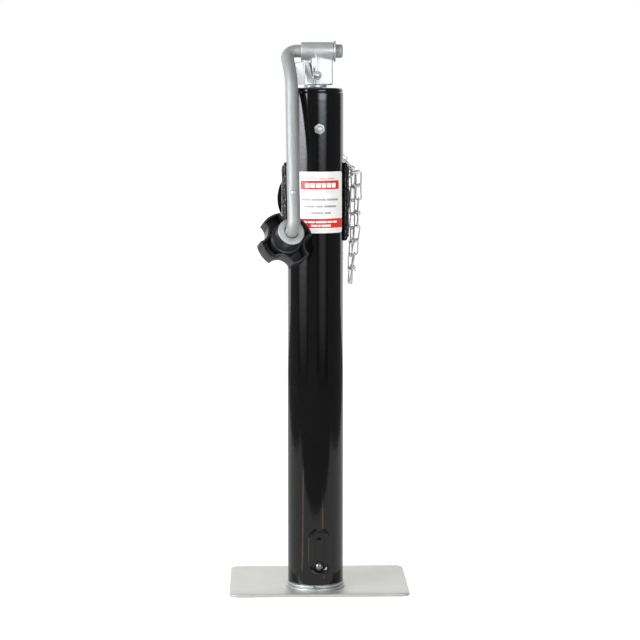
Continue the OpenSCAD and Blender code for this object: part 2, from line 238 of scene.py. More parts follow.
def piece(name, surfaces, material, body, replaces=(), crisp=35, uv=None):
    """One named piece from grids given as (points in mm, wrapped along u, wrapped along v, filled ends).
    uv holds the distances in metres along the grid's two directions."""
    points, faces, corners, start = [], [], [], 0
    for grid, wrap_u, wrap_v, fill in surfaces:
        nu, nv = grid.shape[:2]
        quads, steps = grid_faces(nu, nv, wrap_u, wrap_v, start)
        faces += quads.tolist()
        corners.append(steps)
        if fill:
            faces += [(start + np.arange(nu) * nv + end).tolist() for end in (0, nv - 1)]
        points.append(grid.reshape(-1, 3))
        start += nu * nv
    mesh = bpy.data.meshes.new(name)
    mesh.from_pydata((np.concatenate(points) * MM).tolist(), [], faces)
    if uv is not None:
        steps = np.concatenate(corners)
        layer = mesh.uv_layers.new(name="Surface")
        layer.data.foreach_set("uv", np.stack([uv[0][steps[:, 0]], uv[1][steps[:, 1]]], -1).ravel())
    work = bmesh.new()
    work.from_mesh(mesh)
    bmesh.ops.remove_doubles(work, verts=work.verts, dist=1e-6)
    bmesh.ops.recalc_face_normals(work, faces=work.faces)
    work.to_mesh(mesh)
    work.free()
    mesh.shade_smooth()
    mesh.set_sharp_from_angle(angle=math.radians(crisp))
    mesh.materials.append(material)
    made = bpy.data.objects.new(name, mesh)
    bpy.context.scene.collection.objects.link(made)
    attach(made, body)
    if replaces:
        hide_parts(*replaces)
    co = np.array([v.co for v in mesh.vertices]) / MM
    print(name, len(mesh.polygons), "faces, from", co.min(0).round(1), "to", co.max(0).round(1), "mm")
    return made


# %% [markdown]
# ## Camera and stage
# The jack stands on a plain white floor in a pale studio. A long lens well back, a little above the crank
# head and tipped down, keeps the tube's sides nearly parallel.

# %% Camera
LENS = 112.5
CAMERA_HEIGHT = 0.5155
CAMERA_BACK = 2.031
CAMERA_LEFT = 0.0047
LOOK_RIGHT = math.radians(1.52)
LOOK_DOWN = math.radians(6.6)

camera_data = bpy.data.cameras.new("camera")
camera_data.lens = LENS
camera_data.sensor_width = 36
camera = bpy.data.objects.new("camera", camera_data)
camera.location = (
    -CAMERA_BACK * math.sin(LOOK_RIGHT) + CAMERA_LEFT * math.cos(LOOK_RIGHT),
    -CAMERA_BACK * math.cos(LOOK_RIGHT) - CAMERA_LEFT * math.sin(LOOK_RIGHT),
    CAMERA_HEIGHT,
)
camera.rotation_euler = (math.pi / 2 - LOOK_DOWN, 0, -LOOK_RIGHT)
bpy.context.scene.collection.objects.link(camera)
bpy.context.scene.camera = camera
bpy.context.scene.view_settings.view_transform = "Standard"
print("camera at", [round(x, 3) for x in camera.location])

# %% [markdown]
# ## Light
# Black gloss paint is a mirror that shows its whole room, so the room matters more than the lamps. The room
# is a dim dome with soft boxes at the sides and above. A white table top lies round the foot and ends half
# a metre in front of it: the paint shows that edge as a curve. The dome and the table top are seen only in
# reflections and as soft light; what the camera itself sees behind the jack is a white floor and a white
# world.

# %% Colours and nodes
def linear(hex_colour):
    """An sRGB colour such as #c0c4c8 as linear red, green, blue and alpha 1."""
    values = [int(hex_colour[i:i + 2], 16) / 255 for i in (1, 3, 5)]
    return [v / 12.92 if v <= 0.04045 else ((v + 0.055) / 1.055) ** 2.4 for v in values] + [1.0]


def add(tree, kind, inputs=None, **settings):
    """Adds a node to a tree with its settings. Each input is linked if it is given a socket, and set if
    not."""
    made = tree.nodes.new(kind)
    for name, value in settings.items():
        setattr(made, name, value)
    for key, value in (inputs or {}).items():
        if isinstance(value, bpy.types.NodeSocket):
            tree.links.new(value, made.inputs[key])
        else:
            made.inputs[key].default_value = value
    return made


def glow(name, colour, strength):
    """A plain glowing surface for the stage."""
    made = bpy.data.materials.new(name)
    made.use_nodes = True
    made.node_tree.nodes.clear()
    light = add(made.node_tree, "ShaderNodeEmission", {"Color": linear(colour), "Strength": strength})
    add(made.node_tree, "ShaderNodeOutputMaterial", {"Surface": light.outputs[0]})
    made.cycles.emission_sampling = "NONE"
    return made


# %% World, floor, dome, table top and backdrop
# Radiance of the dome, and of each soft box at heights above the floor in metres
ROOM_GREY = 0.16
LEFT_LEVELS = [(0.0, 0.0), (0.1, 0.5), (0.2, 1.1), (0.3, 2.6), (0.4, 7.5), (0.52, 15.0), (1.3, 15.0)]
RIGHT_LEVELS = [(0.0, 0.0), (0.12, 0.5), (0.33, 0.8), (0.41, 1.5), (0.47, 3.2), (0.55, 7.6), (1.1, 7.6)]

world = bpy.data.worlds.new("white_room")
world.use_nodes = True
world.node_tree.nodes["Background"].inputs["Color"].default_value = (1, 1, 1, 1)
world.node_tree.nodes["Background"].inputs["Strength"].default_value = 1.0
for ray in ("diffuse", "glossy", "transmission", "scatter"):
    setattr(world.cycles_visibility, ray, False)
bpy.context.scene.world = world


def stage_sheet(name, corners, material, seen_by):
    """A flat stage piece that only the named kinds of rays meet."""
    mesh = bpy.data.meshes.new(name)
    mesh.from_pydata(corners, [], [tuple(range(len(corners)))])
    if material:
        mesh.materials.append(material)
    made = bpy.data.objects.new(name, mesh)
    bpy.context.scene.collection.objects.link(made)
    for ray in ("camera", "diffuse", "glossy", "transmission", "volume_scatter", "shadow"):
        setattr(made, "visible_" + ray, ray in seen_by)
    made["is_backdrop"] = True
    return made


FLOOR_HALF = 12.0
floor_material = bpy.data.materials.new("white_floor")
floor_material.use_nodes = True
tree = floor_material.node_tree
floor_shader = tree.nodes["Principled BSDF"]
floor_shader.inputs["Base Color"].default_value = linear("#e6e6e5")
floor_shader.inputs["Roughness"].default_value = 0.9
floor_shader.inputs["Specular IOR Level"].default_value = 0.0
floor_shader.inputs["Emission Color"].default_value = (1, 1, 1, 1)
place = add(tree, "ShaderNodeTexCoord").outputs["Object"]
reach = add(tree, "ShaderNodeVectorMath", {0: place}, operation="LENGTH").outputs["Value"]
lift = add(tree, "ShaderNodeMapRange", {
    "Value": reach, "From Min": 0.12, "From Max": 0.7, "To Min": 0.78, "To Max": 1.0},
    interpolation_type="SMOOTHSTEP")
tree.links.new(lift.outputs[0], floor_shader.inputs["Emission Strength"])
floor_material.cycles.emission_sampling = "NONE"
SQUARE = ((-1, -1), (1, -1), (1, 1), (-1, 1))
stage_sheet("floor", [(x * FLOOR_HALF, y * FLOOR_HALF, 0) for x, y in SQUARE], floor_material,
            ("camera", "diffuse", "shadow"))

TABLE_FRONT, TABLE_SIDE, TABLE_BACK = 0.42, 0.85, 1.6
BACKDROP_SIDE = 2.4
stage_sheet("table_top", [(-TABLE_SIDE, -TABLE_FRONT, 0), (TABLE_SIDE, -TABLE_FRONT, 0),
                          (TABLE_SIDE, TABLE_BACK, 0), (-TABLE_SIDE, TABLE_BACK, 0)],
            glow("table_white", "#ffffff", 0.72), ("glossy",))
stage_sheet("backdrop", [(-BACKDROP_SIDE, TABLE_BACK, 0), (BACKDROP_SIDE, TABLE_BACK, 0),
                         (BACKDROP_SIDE, TABLE_BACK, 2.0), (-BACKDROP_SIDE, TABLE_BACK, 2.0)],
            glow("backdrop_white", "#ffffff", 1.5), ("glossy",))

# The soft boxes also glare along the glazed table top, as two narrow streaks that point at them
STREAKS = (("left_streak", -53, 0.112, 2.5), ("right_streak", 27.5, 0.077, 2.2))
STREAK_HALF, STREAK_Z = math.radians(2.6), 0.0045
for name, azimuth, near_r, level in STREAKS:
    middle = math.radians(azimuth)
    far_r = 0.41 / math.cos(middle)
    r = np.array([near_r, far_r, far_r, near_r])
    turn = middle + STREAK_HALF * np.array([-1, -1, 1, 1])
    corners = np.stack([r * np.sin(turn), -r * np.cos(turn), np.full(4, STREAK_Z)], -1)
    stage_sheet(name, corners.tolist(), glow(name, "#ffe2cf", level), ("glossy",))

bpy.ops.mesh.primitive_uv_sphere_add(segments=32, ring_count=16, radius=9.0)
dome = bpy.context.object
dome.name = "dome"
dome.data.materials.append(glow("room_grey", "#ffffff", ROOM_GREY))
for ray in ("camera", "transmission", "volume_scatter", "shadow"):
    setattr(dome, "visible_" + ray, False)
dome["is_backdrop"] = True


# %% [markdown]
# The soft boxes are what draws the long highlights down the tube. A real one glows evenly behind its cloth
# and fades at the edge, and its light falls off towards the floor. So each box is a glowing card whose
# brightness is worked out from Object coordinates: a level across, times a level for each height.

# %% Soft boxes and lamps
def soft_box(name, azimuth, core, levels, colour="#f7faff", distance=1.5, spread=0.62):
    """A tall glowing card that faces the jack. Azimuth is counted from the camera towards +X. Across, it
    is full within core and fades to nothing at spread; upwards, its radiance follows levels of (height,
    radiance)."""
    top = levels[-1][0]
    card = stage_sheet(name, [(-spread, 0, 0), (spread, 0, 0), (spread, 0, top), (-spread, 0, top)],
                       None, ("glossy", "diffuse"))
    a = math.radians(azimuth)
    card.location = (distance * math.sin(a), -distance * math.cos(a), 0)
    card.rotation_euler = (0, 0, a)
    made = bpy.data.materials.new(name)
    made.use_nodes = True
    tree = made.node_tree
    tree.nodes.clear()
    parts = add(tree, "ShaderNodeSeparateXYZ", {0: add(tree, "ShaderNodeTexCoord").outputs["Object"]})
    aside = add(tree, "ShaderNodeMath", {0: parts.outputs["X"]}, operation="ABSOLUTE")
    across = add(tree, "ShaderNodeMapRange", {
        "Value": aside.outputs[0], "From Min": core, "From Max": spread, "To Min": 1.0, "To Max": 0.0},
        interpolation_type="SMOOTHSTEP")
    height = None
    for (z0, r0), (z1, r1) in zip(levels[:-1], levels[1:]):
        step = add(tree, "ShaderNodeMapRange", {
            "Value": parts.outputs["Z"], "From Min": z0, "From Max": z1, "To Min": 0.0, "To Max": r1 - r0})
        height = step.outputs[0] if height is None else add(
            tree, "ShaderNodeMath", {0: height, 1: step.outputs[0]}, operation="ADD").outputs[0]
    strength = add(tree, "ShaderNodeMath", {0: height, 1: across.outputs[0]}, operation="MULTIPLY")
    light = add(tree, "ShaderNodeEmission", {"Color": linear(colour), "Strength": strength.outputs[0]})
    add(tree, "ShaderNodeOutputMaterial", {"Surface": light.outputs[0]})
    card.data.materials.append(made)
    return card


def lamp(name, at, aim, size, radiance, mirrored):
    """A rectangular lamp turned to its aim; power is radiance times area times pi. An unmirrored lamp
    lights the label and floor but doesn't show in the paint or plate."""
    data = bpy.data.lights.new(name, "AREA")
    data.shape = "RECTANGLE"
    data.size, data.size_y = size
    data.energy = radiance * size[0] * size[1] * math.pi
    made = bpy.data.objects.new(name, data)
    made.location = at
    made.rotation_euler = (Vector(aim) - Vector(at)).to_track_quat("-Z", "Y").to_euler()
    made.visible_camera = False
    made.visible_glossy = mirrored
    bpy.context.scene.collection.objects.link(made)
    return made


soft_box("left_box", -54, 0.26, LEFT_LEVELS)
soft_box("right_box", 27.5, 0.1, RIGHT_LEVELS)
lamp("top_lamp", (0, -0.2, 2.4), (0, 0, 0), (2.2, 2.0), 0.35, True)
lamp("front_lamp", (-0.3, -2.2, 1.9), (0, 0, 0.35), (1.6, 1.2), 2.65, False)
print("stage set")

# %% [markdown]
# ## Paint, plate and plastic
# Every finish starts from what it is in the workshop. Its scale comes from a real size in millimetres, such
# as the ripple of sprayed paint or the spangle of zinc, and is read from Object coordinates, so it stays
# put on the metal when the jack moves.

# %% Finishes with clouds and marks
PEEL_MM = 3.2
PEEL_HEIGHT_MM = 0.045


def start_material(name, **sockets):
    """A new material with its Principled shader, the shader's constants set by socket name."""
    made = bpy.data.materials.new(name)
    made.use_nodes = True
    shader = made.node_tree.nodes["Principled BSDF"]
    for key, value in sockets.items():
        shader.inputs[key.replace("_", " ")].default_value = value
    return made, made.node_tree, shader


def worked_finish(name, clouds, tones, rough, marks=None, rough_marks=False, **sockets):
    """Clouds (size in mm, detail) wander between two tones and two roughnesses. Marks (size in mm,
    detail, height in mm) stand up as a fine bump, and carry the roughness instead of the clouds where
    rough_marks is set."""
    made, tree, shader = start_material(name, **sockets)
    place = add(tree, "ShaderNodeTexCoord").outputs["Object"]
    cloud = add(tree, "ShaderNodeTexNoise", {
        "Vector": place, "Scale": 1 / (clouds[0] * MM), "Detail": clouds[1]})
    tone = add(tree, "ShaderNodeMix", {
        0: cloud.outputs[0], 6: linear(tones[0]), 7: linear(tones[1])}, data_type="RGBA")
    tree.links.new(tone.outputs[2], shader.inputs["Base Color"])
    if marks:
        mark = add(tree, "ShaderNodeTexNoise", {
            "Vector": place, "Scale": 1 / (marks[0] * MM), "Detail": marks[1]})
        bump = add(tree, "ShaderNodeBump", {
            "Height": mark.outputs[0], "Strength": 1.0, "Distance": marks[2] * MM})
        tree.links.new(bump.outputs[0], shader.inputs["Normal"])
        if "Coat_Weight" in sockets:
            tree.links.new(bump.outputs[0], shader.inputs["Coat Normal"])
    if np.ndim(rough):
        source = mark if rough_marks else cloud
        span = add(tree, "ShaderNodeMapRange", {
            "Value": source.outputs[0], "To Min": rough[0], "To Max": rough[1]})
        tree.links.new(span.outputs[0], shader.inputs["Roughness"])
    else:
        shader.inputs["Roughness"].default_value = rough
    return made


# %% [markdown]
# Gloss black paint is sprayed and stoved enamel over steel. The pigment coat scatters a little light, and
# the clear gloss over it mirrors the room with the slight ripple that painters call orange peel. So the
# gloss is the shader's coat, and the ripple bends both layers.

# %% Gloss black paint
paint = worked_finish(
    "stoved_black_enamel", (22, 3), ("#040405", "#090909"), (0.3, 0.42), (PEEL_MM, 2, PEEL_HEIGHT_MM),
    Coat_Weight=1.0, Coat_Roughness=0.08, Coat_IOR=1.5, Specular_IOR_Level=0.0)

# %% [markdown]
# Bright zinc is barrel-plated steel with a clear blue passivate: a bright grey metal, a little cloudy, with
# a faint blue and straw cast and fine tumbling marks. The passivate is a cloudy film, so a share of the
# light scatters in it. The chain's wire is plated thicker and stays paler. Hot-rolled plate keeps its fine
# scale texture under the zinc, so the foot looks like pale satin.

# %% Zinc plate
zinc = worked_finish(
    "bright_zinc_plate", (7, 4), ("#b9bdc0", "#cccbc5"), (0.36, 0.54), (0.9, 3, 0.009), Metallic=0.84)
chain_zinc = worked_finish(
    "barrelled_chain_zinc", (7, 4), ("#d3d4d2", "#e6e5df"), (0.3, 0.46), (0.9, 3, 0.009), Metallic=0.6)
satin = worked_finish(
    "satin_zinc_plate", (14, 5), ("#bcbcb8", "#cac9c4"), (0.42, 0.58), (1.1, 2, 0.012), rough_marks=True,
    Metallic=0.8)

# %% [markdown]
# The crank rod is cold-drawn bar, pulled through a die and then plated. The die leaves lines along the bar
# that show through the zinc. A pattern on Object coordinates would cut across the bends, so this finish
# follows the rod's own UV map: long features along it, fine ones round it.

# %% Drawn and plated rod
LINE_LONG_MM, LINE_WIDE_MM = 26, 1.5
rod_zinc, tree, shader = start_material("drawn_rod_zinc", Metallic=0.8)
lines_at = add(tree, "ShaderNodeUVMap", uv_map="Surface").outputs[0]
stretched = add(tree, "ShaderNodeMapping", {
    "Vector": lines_at, "Scale": (1 / (LINE_LONG_MM * MM), 1 / (LINE_WIDE_MM * MM), 1.0)})
lines = add(tree, "ShaderNodeTexNoise", {
    "Vector": stretched.outputs[0], "Scale": 1.0, "Detail": 4.0, "Roughness": 0.6})
tone = add(tree, "ShaderNodeMix", {
    0: lines.outputs[0], 6: linear("#868b88"), 7: linear("#c0c2bf")}, data_type="RGBA")
shine = add(tree, "ShaderNodeMapRange", {"Value": lines.outputs[0], "To Min": 0.72, "To Max": 0.54})
grooves = add(tree, "ShaderNodeBump", {"Height": lines.outputs[0], "Strength": 1.0, "Distance": 0.03 * MM})
tree.links.new(tone.outputs[2], shader.inputs["Base Color"])
tree.links.new(shine.outputs[0], shader.inputs["Roughness"])
tree.links.new(grooves.outputs[0], shader.inputs["Normal"])

# %% [markdown]
# The screw, its bearing and the stem are bare machined steel under grease, and the lift nut is cast bronze.
# The knob is glass-filled nylon from a spark-eroded mould: black, half gloss, with a fine leathery grain.

# %% Steel, bronze and moulded plastic
steel = worked_finish("oiled_machined_steel", (5, 4), ("#6f7174", "#96989a"), (0.25, 0.45), Metallic=1.0)
bronze = worked_finish("cast_bronze", (3, 4), ("#8d6f38", "#b08d4c"), 0.42, (3, 4, 0.05), Metallic=1.0)
plastic = worked_finish(
    "glass_filled_nylon", (9, 3), ("#19191a", "#262627"), (0.24, 0.38), (0.8, 3, 0.014), IOR=1.53)

# %% [markdown]
# The label is white vinyl film, screen printed. The film shows a very fine tooth of 0.6 mm, and the inks
# lie on it a little glossier, so each ink is a finish of its own on the same tooth.

# %% Label film and its inks
PRINTED = {
    "white_vinyl_film": (("#d6d5d0", "#e1e0dc"), 0.4),
    "red_screen_ink": (("#c4170f", "#d3291c"), 0.35),
    "grey_screen_ink": (("#8b8b8e", "#a0a0a2"), 0.45),
    "pale_red_screen_ink": (("#cf8f8b", "#dba39f"), 0.45),
    "pale_grey_screen_ink": (("#bdbcb9", "#cbcac6"), 0.45),
    "white_screen_ink": (("#f0efed", "#f8f7f5"), 0.4),
}
film, red_ink, grey_ink, pale_red_ink, pale_grey_ink, white_ink = [
    worked_finish(name, (4, 3), tones, rough, (0.6, 2, 0.006)) for name, (tones, rough) in PRINTED.items()]
print("finishes:", len(bpy.data.materials))

# %% [markdown]
# ## Finishes for the working model's own pieces
# Some of the working model's pieces already have the right shape: the screw and its bearing inside the
# tube, the lock pin, the mount pipe and its boss. They only need their finish, which goes on the slots of
# their objects.

# %% Give each node its finish
NODES_OF_FINISH = [
    (zinc, "bearing_balls chain_staple lock_pin pin_ring rod_washer knob_washer grease_nipple foot_collar"),
    (zinc, "crank_rod crank_head head_pin head_washer"),
    (chain_zinc, "safety_chain"),
    (satin, "foot_plate inner_tube"),
    (steel, "lead_screw screw_stop drive_stem lower_race upper_race push_nut"),
    (bronze, "lift_nut"),
    (plastic, "knob knob_cap"),
    (film, "label"),
]
FINISH = {name: finish for finish, names in NODES_OF_FINISH for name in names.split()}
for name, made in frame["nodes"].items():
    finish = FINISH.get(name, paint)
    if not made.material_slots:
        made.data.materials.append(finish)
    for slot in made.material_slots:
        slot.material = finish
print("painted:", sorted(set(frame["nodes"]) - set(FINISH)))

# %% [markdown]
# ## Outer tube
# The outer tube is drawn steel tube with its lower end pressed in at the front to guide the leg: a long
# oval with a flat floor, a crease down its middle, a lanced slit at its top and a ball of weld at its foot.
# It could be cut with booleans, but a grid whose radius depends on angle and height gives clean metal and
# soft edges.

# %% Outer tube with its pressed guide
GUIDE_TURN = math.radians(7)
GUIDE_Z, GUIDE_W, GUIDE_H = 44.5, 19.0, 44.0
GUIDE_FLOOR = 26.4
GUIDE_SIDE = 0.44                # radians from the guide's middle that get the finer grid
GUIDE_BALL_Z, SLIT_Z = 29.3, 58.2
WALL = 3.0


def guide_depth(angle, z):
    """How far the tube's surface is pressed in, in mm, at an angle from the guide's middle and a height.
    Inside an oval it falls to a flat floor over 2.4 mm. A crease, a slit and a ball with a groove round
    it are added."""
    across, up = TUBE_R * angle, z - GUIDE_Z
    edge = GUIDE_W / 2 - np.hypot(across, np.maximum(np.abs(up) - (GUIDE_H - GUIDE_W) / 2, 0))
    floor = TUBE_R - GUIDE_FLOOR / np.cos(np.clip(angle, -0.5, 0.5)) + 0.25
    depth = np.maximum(floor, 0.2) * smooth(edge, -0.4, 2.0)
    depth -= 0.42 * np.exp(-((edge + 0.7) / 1.2) ** 2) * smooth(np.abs(across), 2, 5)
    depth += 0.55 * np.exp(-(across / 0.75) ** 2) * smooth(z, 33, 35) * smooth(z, 57.5, 56)
    depth += 1.2 * smooth(2.6 - np.abs(across), 0, 0.6) * smooth(1.1 - np.abs(z - SLIT_Z), 0, 0.5)
    away = np.hypot(across, z - GUIDE_BALL_Z)
    depth += 0.55 * np.exp(-((away - 4.9) / 0.7) ** 2)
    return depth + 0.6 * smooth(5.2 - away, 0, 1.0)


near_guide = np.linspace(-GUIDE_SIDE, GUIDE_SIDE, 97)
round_back = np.linspace(GUIDE_SIDE, 2 * np.pi - GUIDE_SIDE, 120)[1:-1]
angles = np.concatenate([near_guide, round_back])[:, None]
rim = rounded([(TUBE_R - WALL, TUBE_LOW[2]), (TUBE_R, TUBE_LOW[2]), (TUBE_R, TUBE_HIGH[2]),
               (TUBE_R - WALL, TUBE_HIGH[2])], (0.3, 0.7, 0.9, 0.3))
split = 14                       # the points of the lower end's two rounded corners
heights = np.concatenate([np.arange(14, 72, 0.55), np.arange(72, TUBE_HIGH[2] - 3, 12)])
outside = np.stack([np.full(len(heights), TUBE_R), heights], -1)
profile = np.concatenate([rim[:split], outside, rim[split:]])
base, z = profile[:, 0][None], profile[:, 1][None]
signed = np.where(angles > np.pi, angles - 2 * np.pi, angles)
pressed = guide_depth(signed, z) * (base > TUBE_R - 0.01)
radius = base - pressed
turn = signed + GUIDE_TURN
grid = np.stack([radius * np.sin(turn), -radius * np.cos(turn), np.broadcast_to(z, radius.shape)], -1)
piece("tube_skin", [(grid, True, True, False)], paint, "jack_body", ["outer_tube"])

# %% Ball at the foot of the guide
guide_axis = np.array([math.sin(GUIDE_TURN), -math.cos(GUIDE_TURN), 0])
t = np.linspace(0, np.pi / 2, 14)
ball = np.stack([4.2 * np.cos(t), GUIDE_FLOOR - 0.6 + 3.4 * np.sin(t)], -1)
ball = np.concatenate([[(0, GUIDE_FLOOR - 1.6), (4.2, GUIDE_FLOOR - 1.6)], ball])
ball_grid = turned(ball, at=(0, 0, GUIDE_BALL_Z), along=guide_axis, steps=48)
piece("guide_ball", [(ball_grid, True, False, False)], steel, "jack_body")

# %% [markdown]
# ## Cap and grease nipple
# The cap is a pressed disc driven into the tube's mouth, with a rolled edge that catches the light. The
# nipple is a hexagon with a turned tip that ends in a ball with the grease hole.

# %% Top cap
CAP_LOW, CAP_HIGH = box_mm("top_cap")
STEM_R = 7.0
EDGE_R = TUBE_R - 0.5
SPIGOT_R = TUBE_R - WALL - 0.1
LEDGE_Z = TUBE_HIGH[2] + 0.2
cap_profile = rounded([
    (STEM_R + 0.3, CAP_LOW[2]), (SPIGOT_R, CAP_LOW[2]), (SPIGOT_R, LEDGE_Z), (EDGE_R, LEDGE_Z),
    (EDGE_R, CAP_HIGH[2]), (STEM_R + 0.3, CAP_HIGH[2])], (0.3, 0.5, 0, 1.1, 2.8, 0.4))
piece("cap_shell", [(turned(cap_profile, steps=160), True, True, False)], paint, "jack_body",
      ["top_cap"])

# %% [markdown]
# The nipple's hexagon comes from the same turned grid: where a ring belongs to the hexagon, its radius is
# multiplied by cos(30 degrees) / cos(angle from the flat's middle), and the rings beyond it stay round.

# %% Grease nipple
NIPPLE_LOW, NIPPLE_HIGH = box_mm("grease_nipple")
NIPPLE_Z = (NIPPLE_LOW[2] + NIPPLE_HIGH[2]) / 2
NIPPLE_TURN = math.radians(6.6)
nipple_axis = np.array([math.sin(NIPPLE_TURN), -math.cos(NIPPLE_TURN), 0])
HEX_R = 5.5
tip = rounded(np.array([
    (0, -1), (HEX_R, -1), (HEX_R, 3.1), (3.4, 3.1), (2.2, 4.4), (2.2, 5.4), (3.1, 6.2), (3.1, 8.2),
    (1.9, 9.4), (0.7, 9.5), (0.6, 8.7), (0, 8.7)]) + [0, TUBE_R],
    (0, 0.2, 0.5, 0.2, 0.3, 0.3, 0.9, 1.2, 0.6, 0.2, 0.1, 0), closed=False)
grid = turned(tip, along=nipple_axis, at=(0, 0, NIPPLE_Z))
around = np.linspace(0, 2 * np.pi, 96, endpoint=False)
hexagon = np.cos(np.pi / 6) / np.cos((around + 0.35) % (np.pi / 3) - np.pi / 6)
share = smooth(tip[:, 0], 3.6, 4.6) * (tip[:, 1] < TUBE_R + 3.3)
spine = np.array([0, 0, NIPPLE_Z]) + tip[:, 1][:, None] * nipple_axis
grid = spine + (grid - spine) * (1 - share + share * hexagon[:, None])[..., None]
piece("nipple_body", [(grid, True, False, False)], zinc, "jack_body", ["grease_nipple"])

# %% [markdown]
# ## Label
# The label is a vinyl film with rounded corners, wrapped round the tube. Its print is generic: two red
# bands, rows of grey dashes where a maker's words would be, and two rows of white dashes. Each printed
# patch is a thin layer of ink with an edge of its own, so it stays sharp however near one looks.

# %% Label film
LABEL_LOW, LABEL_HIGH = box_mm("label")
LABEL_R = TUBE_R + 0.22
LABEL_TURN = math.radians(8.3)
LABEL_HALF = LABEL_R * math.radians(59)
FILM_R = TUBE_R + 0.02


def wrapped(s, z, r):
    """Points at an arc distance s from the label's middle, a height z and a radius r."""
    a = s / LABEL_R + LABEL_TURN
    return np.stack([r * np.sin(a), -r * np.cos(a), z + 0 * a], -1)


def patch(s0, s1, z0, z1, r0, r1, corner=0.0, step=1.2):
    """A thin curved patch, a closed loop of outer and inner surface for each row. Near its ends each row
    is shortened by corner - sqrt(corner^2 - (corner - distance)^2), which rounds the corners."""
    rise = np.concatenate([corner * (1 - np.cos(np.linspace(0, np.pi / 2, 7))), [z1 - z0 - corner]])
    rows = np.array([0, z1 - z0])
    if corner:
        rows = np.unique(np.round(np.concatenate([rise, (z1 - z0) - rise]), 6))
    near = np.clip(corner - np.minimum(rows, z1 - z0 - rows), 0, corner)
    short = (corner - np.sqrt(corner ** 2 - near ** 2))[:, None]
    count = max(2, int((s1 - s0) / step) + 1)
    t = np.linspace(0, 1, count)[None]
    s = s0 + short + t * (s1 - s0 - 2 * short)
    z = np.broadcast_to((z0 + rows)[:, None], s.shape)
    face = wrapped(s, z, r1)
    back = wrapped(s[:, ::-1], z[:, ::-1], r0)
    loop = np.concatenate([face, back], 1)
    return (loop.transpose(1, 0, 2), True, False, True)


film_grid = patch(-LABEL_HALF, LABEL_HALF, LABEL_LOW[2], LABEL_HIGH[2], FILM_R, LABEL_R, corner=3.0)
piece("label_film", [film_grid], film, "jack_body", ["label"])

# %% [markdown]
# Screen-printed ink lies on the film in a layer far thinner than a hair. Here a layer is 0.03 mm thick,
# enough to keep it clear of the film, and its back reaches a little into the film so that no gap shows at
# its edge.

# %% Printed patches
INK, INK_ROOT = 0.03, 0.05
PRINT_MIDDLE = 1.1
DASH_SPACE = 1.1
TOP = LABEL_HIGH[2]


def ink_bar(left, right, low, high, base=LABEL_R):
    """A bar of ink between two arc distances and two depths below the label's top."""
    return patch(left, right, TOP - low, TOP - high, base - INK_ROOT, base + INK)


def dashes(half, low, high, words, base=LABEL_R):
    """A row of dashes that reaches half to each side of the print's middle, its lengths in the
    proportions given: length = word (2 half - spaces) / sum of words."""
    lengths = np.array(words, float)
    lengths *= (2 * half - DASH_SPACE * (len(words) - 1)) / lengths.sum()
    starts = PRINT_MIDDLE - half + np.concatenate([[0], np.cumsum(lengths + DASH_SPACE)[:-1]])
    return [ink_bar(start, start + length, low, high, base) for start, length in zip(starts, lengths)]


PRINT = {
    "label_red_bands": (red_ink, [
        ink_bar(PRINT_MIDDLE - 21.4, PRINT_MIDDLE + 21.4, 17.6, 8.9),
        ink_bar(0.2 - LABEL_HALF, LABEL_HALF - 0.2, 56.4, 47.0)]),
    "label_red_line": (pale_red_ink, dashes(14.8, 7.6, 6.2, (7, 2, 6, 1, 7))),
    "label_white_marks": (white_ink, dashes(16.5, 15.9, 11.4, (3, 3, 3, 3, 3, 3), LABEL_R + INK)
                          + dashes(18.6, 51.2, 49.5, (3, 5, 8, 4, 4), LABEL_R + INK)
                          + dashes(10.2, 54.9, 53.2, (5, 2, 8), LABEL_R + INK)),
    "label_grey_rows": (grey_ink, dashes(20.6, 29.0, 27.0, (5, 8, 8)) + dashes(17.2, 35.8, 33.8, (6, 4, 8))
                        + dashes(10.4, 42.4, 40.4, (7, 4))),
    "label_pale_lines": (pale_grey_ink, dashes(14.6, 20.9, 19.7, (2, 6, 4, 1, 5, 4))
                         + [ink_bar(3 - LABEL_HALF, LABEL_HALF - 3, 59.2, 58.9)]),
}
for name, (ink, patches) in PRINT.items():
    piece(name, patches, ink, "jack_body")

# %% [markdown]
# ## Pipe mount
# A strip of plate bent into a U holds the tube, with the mount pipe welded to its back. The strip is a
# rounded rectangle swept round the U. Its welds are beads whose size swells and shrinks along them, because
# a welder lays them down as a row of overlapping puddles.

# %% Saddle
SADDLE_LOW, SADDLE_HIGH = box_mm("mount_saddle")
SADDLE_T = 5.4
SADDLE_BEND = 8.0
mid_x, mid_y = SADDLE_HIGH[0] - SADDLE_T / 2, SADDLE_HIGH[1] - SADDLE_T / 2
saddle_mid_z = (SADDLE_LOW[2] + SADDLE_HIGH[2]) / 2
saddle_line = rounded([(mid_x, SADDLE_LOW[1], saddle_mid_z), (mid_x, mid_y, saddle_mid_z),
                       (-mid_x, mid_y, saddle_mid_z), (-mid_x, SADDLE_LOW[1], saddle_mid_z)],
                      SADDLE_BEND - SADDLE_T / 2, closed=False, steps=10)
half_h = (SADDLE_HIGH[2] - SADDLE_LOW[2]) / 2
strip = rounded([(-SADDLE_T / 2, -half_h), (SADDLE_T / 2, -half_h), (SADDLE_T / 2, half_h),
                 (-SADDLE_T / 2, half_h)], 1.6)
piece("saddle_strip", [(swept(saddle_line, strip, up=(0, 0, 1), edge=0.7), False, True, False)], paint,
      "jack_body", ["mount_saddle"])


# %% Weld beads
def puddles(distance, size, pitch=2.3):
    """Growth of a weld bead along its length: a ripple for each puddle, and a slower uneven swell."""
    ripple = np.abs(np.sin(np.pi * distance / pitch)) ** 0.7
    swell = np.sin(distance / 5.1) + 0.6 * np.sin(distance / 2.7 + 1.3) + 0.4 * np.sin(distance / 8.9 + 0.7)
    return size * (0.9 + 0.11 * ripple + 0.05 * swell)


